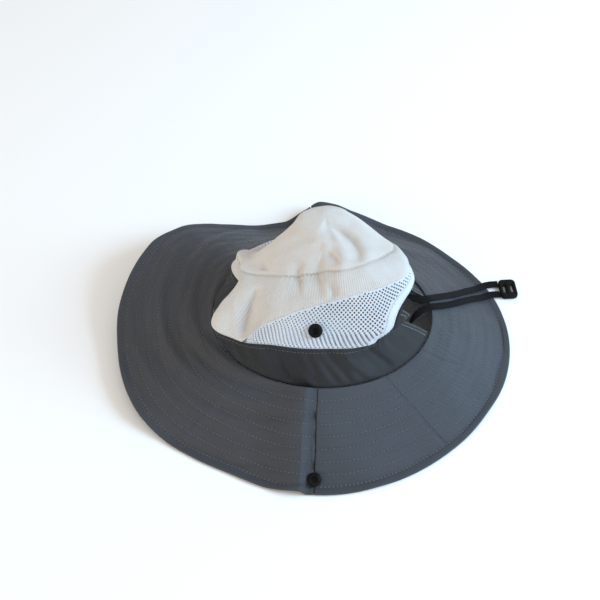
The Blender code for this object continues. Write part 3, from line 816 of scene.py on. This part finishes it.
def line_distance(points, line):
    """Distance of places from a line of places, their side of it and share along it."""
    best = np.full(points.shape[:-1], 1e9)
    side = np.zeros(points.shape[:-1])
    along = np.zeros(points.shape[:-1])
    steps = len(line) - 1
    for k, (start, end) in enumerate(zip(line[:-1], line[1:])):
        step = end - start
        share = np.clip(((points - start) @ step) / (step @ step), 0.0, 1.0)
        away = points - (start + share[..., None] * step)
        far = np.linalg.norm(away, axis=-1)
        turn = step[0] * away[..., 1] - step[1] * away[..., 0]
        closer = far < best
        best = np.where(closer, far, best)
        side = np.where(closer, np.sign(turn), side)
        along = np.where(closer, (k + share) / steps, along)
    return best, side, along


def dent(away, height, width):
    """Soft bell of a height and width, at a distance from its middle."""
    return height * np.exp(-(away / width) ** 2)


def brim_middle(angle, share):
    place = brim_point(angle, share)
    place[..., 2] += BRIM_THICKNESS / 2
    return place


def brim_relief(angle, share):
    """Height of stitched rows, puckers and soft waves over the plain brim."""
    reach = rim_at(angle)[0]
    girth = np.radians(angle) * (0.088 + reach * share)
    relief = waves(BRIM_WAVES, girth, share * reach)
    for number, row in enumerate(STITCH_ROWS):
        away = (share - row) * reach
        relief = relief - dent(away, ROW_DIP, ROW_DIP_WIDTH)
        drift = ripple(girth / 0.020, np.zeros_like(girth), 30 + number, 3)
        pull = 0.5 + 0.5 * ripple(girth / 0.060, np.zeros_like(girth), 50 + number, 3)
        pucker = np.cos(2 * math.pi * girth / PUCKER_PITCH + 1.6 * drift + number)
        relief = relief + pull * pucker * dent(away, PUCKER_HEIGHT, PUCKER_WIDTH)
    edge = (1.0 - share) * reach
    relief = relief - dent(edge - HEM_STITCH_PLACE, HEM_DIP, HEM_DIP_WIDTH)
    relief = relief * np.clip(share * reach / 0.004, 0.0, 1.0)
    points = brim_middle(angle, share)
    for route, left, right, height in BRIM_LINES:
        keys = column(route, 1)
        shares = np.linspace(keys[0], keys[-1], 12)
        line = brim_middle(np.interp(shares, keys, column(route, 0)), shares)
        far, side, _ = line_distance(points, line)
        relief = relief + dent(far, height, np.where(side > 0, left, right))
    return relief


def brim_surface(angle, share):
    base = brim_middle(angle, share)
    normal = -grid_normals(base)
    place = base + normal * brim_relief(angle, share)[..., None]
    place[..., 2] = np.maximum(place[..., 2], BRIM_THICKNESS / 2 + 0.0001)
    return place


def build_brim(name, node_name, start, stop, columns, rows):
    angles = np.linspace(start + GAP_ANGLE / 2, stop - GAP_ANGLE / 2, columns)
    shares = np.linspace(0.0, 1.0, rows)
    angle, share = np.meshgrid(angles, shares)
    middle = brim_surface(angle, share)
    reach = rim_at(angle)[0]
    hem = np.clip(1.0 - ((1.0 - share) * reach - 0.0052) / 0.0008, 0.0, 1.0)
    thick = BRIM_CLOTH_THICKNESS + BRIM_HEM_EXTRA * hem
    girth = np.radians(angle) * 0.150
    uv = np.stack([girth, share * reach], -1)
    piece = slab(name, middle, thick, uv, flip=True)
    link(piece, BRIM_CLOTH, "brim_cloth", node_name)
    normal = -grid_normals(middle)
    lines = []
    rows_at = [np.full(columns, row) for row in STITCH_ROWS]
    for at in rows_at + [1.0 - HEM_STITCH_PLACE / rim_at(angles)[0]]:
        line = np.array([read_line(shares, middle[:, k], at[k]) for k in range(columns)])
        up = np.array([read_line(shares, normal[:, k], at[k]) for k in range(columns)])
        lines.append((line[3:-3], up[3:-3]))
    stitches(name + "_stitches", lines, BRIM_STITCH, GREY_THREAD, "brim_cloth", 5)


# Band
BAND_CLOTH_THICKNESS = 0.0013
BAND_HEM_EXTRA = 0.0009
BAND_END_WIDTH = 0.0056
BAND_END_ROWS = (0.0007, 0.0048)
BAND_WAVES = [(0.0017, 0.030, 0.160, 21), (0.0005, 0.011, 0.045, 22)]


def build_band():
    rows = 34
    heights = np.linspace(0.0, 1.0, rows)
    foot = ARCH_ANGLE - ARCH_GAP_ANGLE
    climb = 1.0 - np.linspace(1.0, 0.0, 22) ** 1.6
    middle = np.linspace(foot, 360.0 - foot, 372)[1:-1]
    end = opening_angle(heights)[:, None]
    left = end + (foot - end) * climb[None]
    angle = np.concatenate([left, np.broadcast_to(middle, (rows, len(middle))),
                            360.0 - left[:, ::-1]], 1)
    tall = np.broadcast_to(heights[:, None], angle.shape)
    level = tall * band_top(angle)
    base = crown_point(angle, level)
    normal = grid_normals(base)
    girth = np.radians(angle) * 0.090
    height = level * BAND_HEIGHT
    inside = np.clip(tall / 0.15, 0, 1) * np.clip((1 - tall) / 0.12, 0.25, 1)
    relief = waves(BAND_WAVES, girth, height) * inside
    base = base + normal * relief[..., None]
    run = arc_lengths(base, axis=1)
    from_end = np.minimum(run, run[:, -1:] - run)
    hem = np.clip(1.0 - (from_end - BAND_END_WIDTH) / 0.0007, 0.0, 1.0)
    thick = BAND_CLOTH_THICKNESS + BAND_HEM_EXTRA * hem
    uv = np.stack([girth, height], -1)
    piece = slab("band_cloth", base, thick, uv)
    link(piece, BAND_CLOTH, "band_cloth", "band")
    normal = grid_normals(base)
    pale = []
    for distance in BAND_END_ROWS:
        for at in (np.full(rows, distance), run[:, -1] - distance):
            line = np.array([read_line(run[k], base[k], at[k]) for k in range(rows)])
            up = np.array([read_line(run[k], normal[k], at[k]) for k in range(rows)])
            pale.append((line[1:-1], up[1:-1]))
    stitches("band_hem_stitches", pale, BAND_END_STITCH, PALE_THREAD, "band_cloth", 6)
    grey = (base[rows - 4, 14:-14], normal[rows - 4, 14:-14])
    stitches("band_stitches", [grey], BAND_STITCH, GREY_THREAD, "band_cloth", 7)


# Crown
POLE_HOLE_STEP = 0.04
CROWN_CLOTH_THICKNESS = 0.0012
CROWN_WAVES = [(0.0008, 0.050, 0.050, 41), (0.00025, 0.016, 0.016, 42)]
GATHER_HEIGHT = 0.00042
GATHER_WIDTH = 0.006
GATHER_PITCH = 0.0048
SEAM_DIP = 0.0006
SEAM_DIP_WIDTH = 0.0016
# Creases of the crown: route as angle and level, width to the left and right of
# the route seen from above, height
CREASE_DEPTH = 1.6
CREASES = [
    (((252.4, 4.05), (261.2, 3.53), (267.3, 2.85), (267.5, 2.22)), 0.0040, 0.0150, -0.0026),
    (((262.0, 4.62), (283.0, 4.50), (297.0, 4.36), (305.9, 4.17), (303.5, 3.82), (296.3, 3.34)),
     0.0045, 0.0085, -0.0030),
    (((258.1, 3.78), (268.0, 3.74), (276.0, 3.65), (280.2, 3.38)), 0.0022, 0.0050, -0.0014),
    (((246.0, 3.45), (247.3, 3.28), (253.1, 2.87), (255.1, 2.34)), 0.0022, 0.0062, -0.0018),
    (((221.3, 2.16), (224.2, 1.66), (227.5, 1.36), (232.0, 1.10)), 0.0060, 0.0035, -0.0026),
    (((210.1, 1.64), (219.5, 1.41), (228.6, 1.08)), 0.0030, 0.0030, 0.0009),
    (((275.0, 2.80), (277.0, 2.50), (275.5, 2.15)), 0.0032, 0.0040, -0.0016),
    (((210.0, 3.31), (214.0, 3.06)), 0.0050, 0.0050, -0.0016),
]


def crown_relief(points):
    """Height of soft waves and creases over the plain crown."""
    relief = waves(CROWN_WAVES, points[..., 0], points[..., 1])
    for route, left, right, height in CREASES:
        keys = np.arange(len(route))
        at = np.linspace(0, len(route) - 1, 6 * len(route))
        line = crown_point(np.interp(at, keys, column(route, 0)),
                           np.interp(at, keys, column(route, 1)))
        far, side, along = line_distance(points, line)
        depth = CREASE_DEPTH * height * np.sin(math.pi * along) ** 0.6
        relief = relief + dent(far, depth, np.where(side > 0, left, right))
    return relief


def crown_grid(columns, shares, low, high):
    """Angles, levels, places, normals and heights over a closed stretch of the crown."""
    angles = np.linspace(0.0, 360.0, columns + 1)[:-1]
    share, angle = np.meshgrid(shares, angles, indexing="ij")
    level = low(angle) + (high(angle) - low(angle)) * share
    base = crown_point(angle, level)
    return angle, level, base, grid_normals(base, closed=True), arc_lengths(base)


def build_crown_side():
    angle, _, base, normal, height = crown_grid(
        540, np.linspace(0.0, 1.0, 46), lambda at: mesh_edge(at) + CLOTH_SEAM_STEP,
        lambda at: tip_seam(at) - SEAM_STEP)
    top = height[-1] - height
    girth = np.radians(angle) * 0.082
    relief = crown_relief(base)
    drift = ripple(girth / 0.03, 0 * girth, 43, 3)
    gather = np.cos(2 * math.pi * girth / GATHER_PITCH + 1.5 * drift)
    pull = np.clip(0.35 + 0.65 * ripple(girth / 0.050, 0 * girth, 44, 3), 0.05, 1.0)
    relief = relief + gather * pull * dent(top, GATHER_HEIGHT, GATHER_WIDTH)
    relief = relief - dent(top, SEAM_DIP, SEAM_DIP_WIDTH)
    fade = np.clip(height / 0.004, 0.1, 1.0)
    base = base + normal * (relief * fade)[..., None]
    uv = np.stack([girth, height], -1)
    piece = slab("crown_side_cloth", base, CROWN_CLOTH_THICKNESS, uv, closed=True)
    link(piece, SIDE_CLOTH, "crown_cloth", "crown_side")


def build_crown_tip():
    _, level, base, normal, height = crown_grid(
        420, np.linspace(0.0, 1.0, 52) ** 1.05, lambda at: tip_seam(at) + SEAM_STEP,
        lambda at: POLE_LEVEL - POLE_HOLE_STEP)
    relief = crown_relief(base) - dent(height, SEAM_DIP, SEAM_DIP_WIDTH)
    fade = np.clip((5.0 - level) / 0.5, 0.0, 1.0)
    base = base + normal * (relief * fade)[..., None]
    piece = slab("crown_tip_cloth", base, CROWN_CLOTH_THICKNESS, base[..., :2], closed=True,
                 pole=True)
    link(piece, TIP_CLOTH, "crown_cloth", "crown_tip")
    line, up = base[1], grid_normals(base, closed=True)[1]
    seam = (np.concatenate([line, line[:1]]), np.concatenate([up, up[:1]]))
    stitches("tip_seam_stitches", [seam], TIP_STITCH, WARM_THREAD, "crown_cloth", 8)


# Side mesh: edge of a cell, radius of its hole as a share of it, share of the
# panel's thickness that the net has, size below which a cell is left out
CELL = 0.0020
HOLE_SHARE = 0.47
NET_SHARE = 0.52
CLOSED_CELL = 0.0002
CELL_RING = ((0, 0), (0, 1), (0, 2), (1, 2), (2, 2), (2, 1), (2, 0), (1, 0))


def build_mesh_panel(name, node_name, side):
    """Wedge of knitted mesh with a real hole in every second cell."""
    dense = np.linspace(GAP_ANGLE / 2, MESH_EDGE[-1][0] - 3.0, 600)
    lengths = arc_lengths(crown_point(side * dense, 0.5 + 0.5 * mesh_edge(dense)))
    columns = int(round(lengths[-1] / CELL)) * 2
    fine = np.interp(np.linspace(0, lengths[-1], columns + 1), lengths, dense)[::side]
    low = arch_level(fine) + SEAM_STEP
    high = mesh_edge(fine) - CLOTH_SEAM_STEP
    foot = 1.0 + SEAM_STEP
    ladder = foot + (high - foot) * np.linspace(0.0, 1.0, 60)[:, None]
    climbs = [arc_lengths(crown_point(side * at, ladder[:, k])) for k, at in enumerate(fine)]
    total = np.array([climb[-1] for climb in climbs])
    rows = int(math.ceil(total.max() / CELL)) * 2
    places = np.arange(rows + 1) * CELL / 2
    level = np.stack([np.interp(places, climb, ladder[:, k])
                      for k, climb in enumerate(climbs)], 1)
    level = np.clip(level, low, high)
    angle = np.broadcast_to(side * fine, level.shape)
    flat = crown_point(angle, level).reshape(-1, 3)
    flat_normal = surface_frame(crown_point, angle, level, 0.4, 0.02)[1].reshape(-1, 3)
    index = np.arange(level.size).reshape(level.shape)
    faces = []
    next_index = level.size
    extra = []
    extra_normal = []
    for r in range(0, rows, 2):
        for c in range(0, columns, 2):
            ring = [index[r + up, c + along] for up, along in CELL_RING]
            free = (level[r, c:c + 3] > low[c:c + 3] + 1e-6).all() or r == 0
            free = free and (places[r + 2] < total[c:c + 3] - 0.0005).all()
            corners = flat[ring]
            across = np.linalg.norm(corners[0] - corners[2])
            tallness = np.linalg.norm(corners[0] - corners[6])
            if tallness < CLOSED_CELL and np.linalg.norm(corners[2] - corners[4]) < CLOSED_CELL:
                continue
            mid = index[r + 1, c + 1]
            if free and tallness > 0.0012 and (r // 2 + c // 2) % 2 == 0:
                away = unit(corners - flat[mid])
                extra.append(flat[mid] + away * HOLE_SHARE * min(across, tallness))
                extra_normal.append(np.repeat(flat_normal[mid:mid + 1], 8, 0))
                hole = list(range(next_index, next_index + 8))
                next_index += 8
                for k in range(8):
                    n = (k + 1) % 8
                    faces.append([ring[k], ring[n], hole[n], hole[k]])
            else:
                faces += [[ring[0], ring[1], mid, ring[7]], [ring[1], ring[2], ring[3], mid],
                          [mid, ring[3], ring[4], ring[5]], [ring[7], mid, ring[5], ring[6]]]
    spots = np.concatenate([flat] + extra)
    half = np.concatenate([flat_normal] + extra_normal) * MESH_THICKNESS * NET_SHARE / 2
    count = len(spots)
    solid = faces + [[k + count for k in reversed(face)] for face in faces]
    edges = dict.fromkeys(pair for face in faces for pair in zip(face, face[1:] + face[:1]))
    for a, b in edges:
        if (b, a) not in edges:
            solid.append([b, a, a + count, b + count])
    uv = np.concatenate([spots[:, ::2], spots[:, ::2]])
    solid = [[int(k) for k in face] for face in solid]
    piece = make_object(name, np.concatenate([spots + half, spots - half]), solid, uv)
    tidy_mesh(piece)
    link(piece, MESH_CLOTH, "sports_mesh", node_name)


def tidy_mesh(piece):
    """Merges places that fell together where the wedge runs out."""
    work = bmesh.new()
    work.from_mesh(piece.data)
    bmesh.ops.remove_doubles(work, verts=work.verts, dist=0.00004)
    bmesh.ops.dissolve_degenerate(work, dist=0.00004, edges=work.edges)
    loose = [v for v in work.verts if not v.link_faces]
    bmesh.ops.delete(work, geom=loose, context="VERTS")
    bmesh.ops.recalc_face_normals(work, faces=work.faces)
    work.to_mesh(piece.data)
    work.free()
    piece.data.shade_smooth()


# Width of the hem's cloth as a share of the solid's, which laps it over the seam
TRIM_COVER = 1.22


def build_trim():
    share, turn = np.meshgrid(np.linspace(0.0, TRIM_COVER, 9), np.linspace(180.0, 0.0, 120),
                              indexing="ij")
    half_angle = ARCH_ANGLE + TRIM_ANGLE * share
    height = OPENING_ARCH + TRIM_STEP * share
    across, up = np.cos(np.radians(turn)), np.sin(np.radians(turn))
    angle = half_angle * np.sign(across) * np.abs(across) ** (2 / ARCH_POWER)
    level = 1.0 + SEAM_STEP + height * up ** (2 / ARCH_POWER)
    base = crown_point(angle, level)
    girth = np.radians(turn) * 0.040
    thick = CROWN_CLOTH_THICKNESS + 0.0004 * np.sin(math.pi * share / TRIM_COVER)
    uv = np.stack([girth, share * TRIM_WIDTH], -1)
    piece = slab("opening_trim_cloth", base, thick, uv, round_out=0.5)
    link(piece, TRIM_CLOTH, "trim_cloth", "opening_trim")
    normal = grid_normals(base)
    lines = [(base[row, 2:-2], normal[row, 2:-2]) for row in (1, 7)]
    stitches("trim_stitches", lines, TRIM_STITCH, WHITE_THREAD, "trim_cloth", 9)


# Snaps: outline of the cap as shares of its radius and height
SNAP_OUTLINE = [
    (0.00, 0.62), (0.10, 0.60), (0.18, 0.50), (0.24, 0.42), (0.34, 0.42), (0.40, 0.50),
    (0.44, 0.78), (0.50, 0.93), (0.58, 1.00), (0.66, 0.99), (0.74, 0.92), (0.80, 0.84),
    (0.88, 0.80), (0.95, 0.70), (1.00, 0.52), (1.01, 0.30), (0.98, 0.08), (0.96, 0.00),
]


def build_snap(name, node_name, place, normal):
    """Turned snap cap that stands on the cloth at a place."""
    sides = 48
    points = [[0.0, 0.0, SNAP_OUTLINE[0][1] * SNAP_HEIGHT]]
    for radius, height in SNAP_OUTLINE[1:]:
        for k in range(sides):
            turn = 2 * math.pi * k / sides
            points.append([radius * SNAP_RADIUS * math.cos(turn),
                           radius * SNAP_RADIUS * math.sin(turn), height * SNAP_HEIGHT])
    faces = [[0, 1 + k, 1 + (k + 1) % sides] for k in range(sides)]
    last = 1 + (len(SNAP_OUTLINE) - 2) * sides
    faces += ring_faces(1, last, sides)
    faces.append(list(range(last + sides - 1, last - 1, -1)))
    turn = Vector((0, 0, 1)).rotation_difference(Vector(normal)).to_matrix()
    spot = Vector(place) + Vector(normal) * SEAT_GAP
    placed = [list(turn @ Vector(p) + spot) for p in points]
    piece = make_object(name, placed, faces)
    link(piece, SNAP_PLASTIC, "snap_plastic", node_name)


def build_snaps():
    for name, side in (("right", 1), ("left", -1)):
        place, down = surface_frame(brim_point, side * SIDE_SEAM_ANGLE, SNAP_BRIM_SHARE, 2.0, 0.05)
        build_snap("snap_brim_" + name + "_cap", "snap_brim_" + name,
                   place - down * BRIM_THICKNESS, -down)
        place, out = surface_frame(crown_point, side * SNAP_CROWN_ANGLE, SNAP_CROWN_LEVEL, 3.0, 0.1)
        build_snap("snap_crown_" + name + "_cap", "snap_crown_" + name,
                   place + out * MESH_THICKNESS / 2, out)


build_brim("brim_front_cloth", "brim_front", SIDE_SEAM_ANGLE, 360 - SIDE_SEAM_ANGLE, 420, 84)
build_brim("brim_rear_cloth", "brim_rear", -SIDE_SEAM_ANGLE, SIDE_SEAM_ANGLE, 440, 84)
build_band()
build_crown_side()
build_crown_tip()
build_mesh_panel("mesh_right_net", "mesh_right", 1)
build_mesh_panel("mesh_left_net", "mesh_left", -1)
build_trim()
build_snaps()


# Floor and light
FLOOR_SIZE = 6.0
FLOOR_LEVEL = -0.0006


def add_floor():
    mesh = bpy.data.meshes.new("floor")
    corners = [(x * FLOOR_SIZE, y * FLOOR_SIZE, FLOOR_LEVEL)
               for x, y in ((-1, -1), (1, -1), (1, 1), (-1, 1))]
    mesh.from_pydata(corners, [], [(0, 1, 2, 3)])
    floor = bpy.data.objects.new("floor", mesh)
    bpy.context.scene.collection.objects.link(floor)
    paper = new_material("floor_paper", (0.97, 0.97, 0.96), 0.9, specular=0.1)[0]
    floor.data.materials.append(paper)


def add_light(name, place, target, size, power, color):
    data = bpy.data.lights.new(name, "AREA")
    data.shape = "DISK"
    data.size = size
    data.energy = power
    data.color = color
    light = bpy.data.objects.new(name, data)
    light.location = place
    direction = Vector(target) - Vector(place)
    light.rotation_euler = direction.to_track_quat("-Z", "Y").to_euler()
    bpy.context.scene.collection.objects.link(light)


def add_lights():
    add_light("window", (1.25, -0.15, 0.80), (0.0, 0.0, 0.05), 0.8, 24.0, (0.50, 0.75, 1.0))
    add_light("front", (-1.50, -0.80, 0.32), (0.0, 0.0, 0.06), 1.2, 12.0, (1.0, 0.91, 0.80))
    world = bpy.data.worlds.new("studio")
    world.use_nodes = True
    back = world.node_tree.nodes["Background"]
    back.inputs["Color"].default_value = (1.0, 0.96, 0.92, 1.0)
    back.inputs["Strength"].default_value = 0.70
    bpy.context.scene.world = world
    bpy.context.scene.view_settings.view_transform = "Standard"


add_floor()
add_lights()
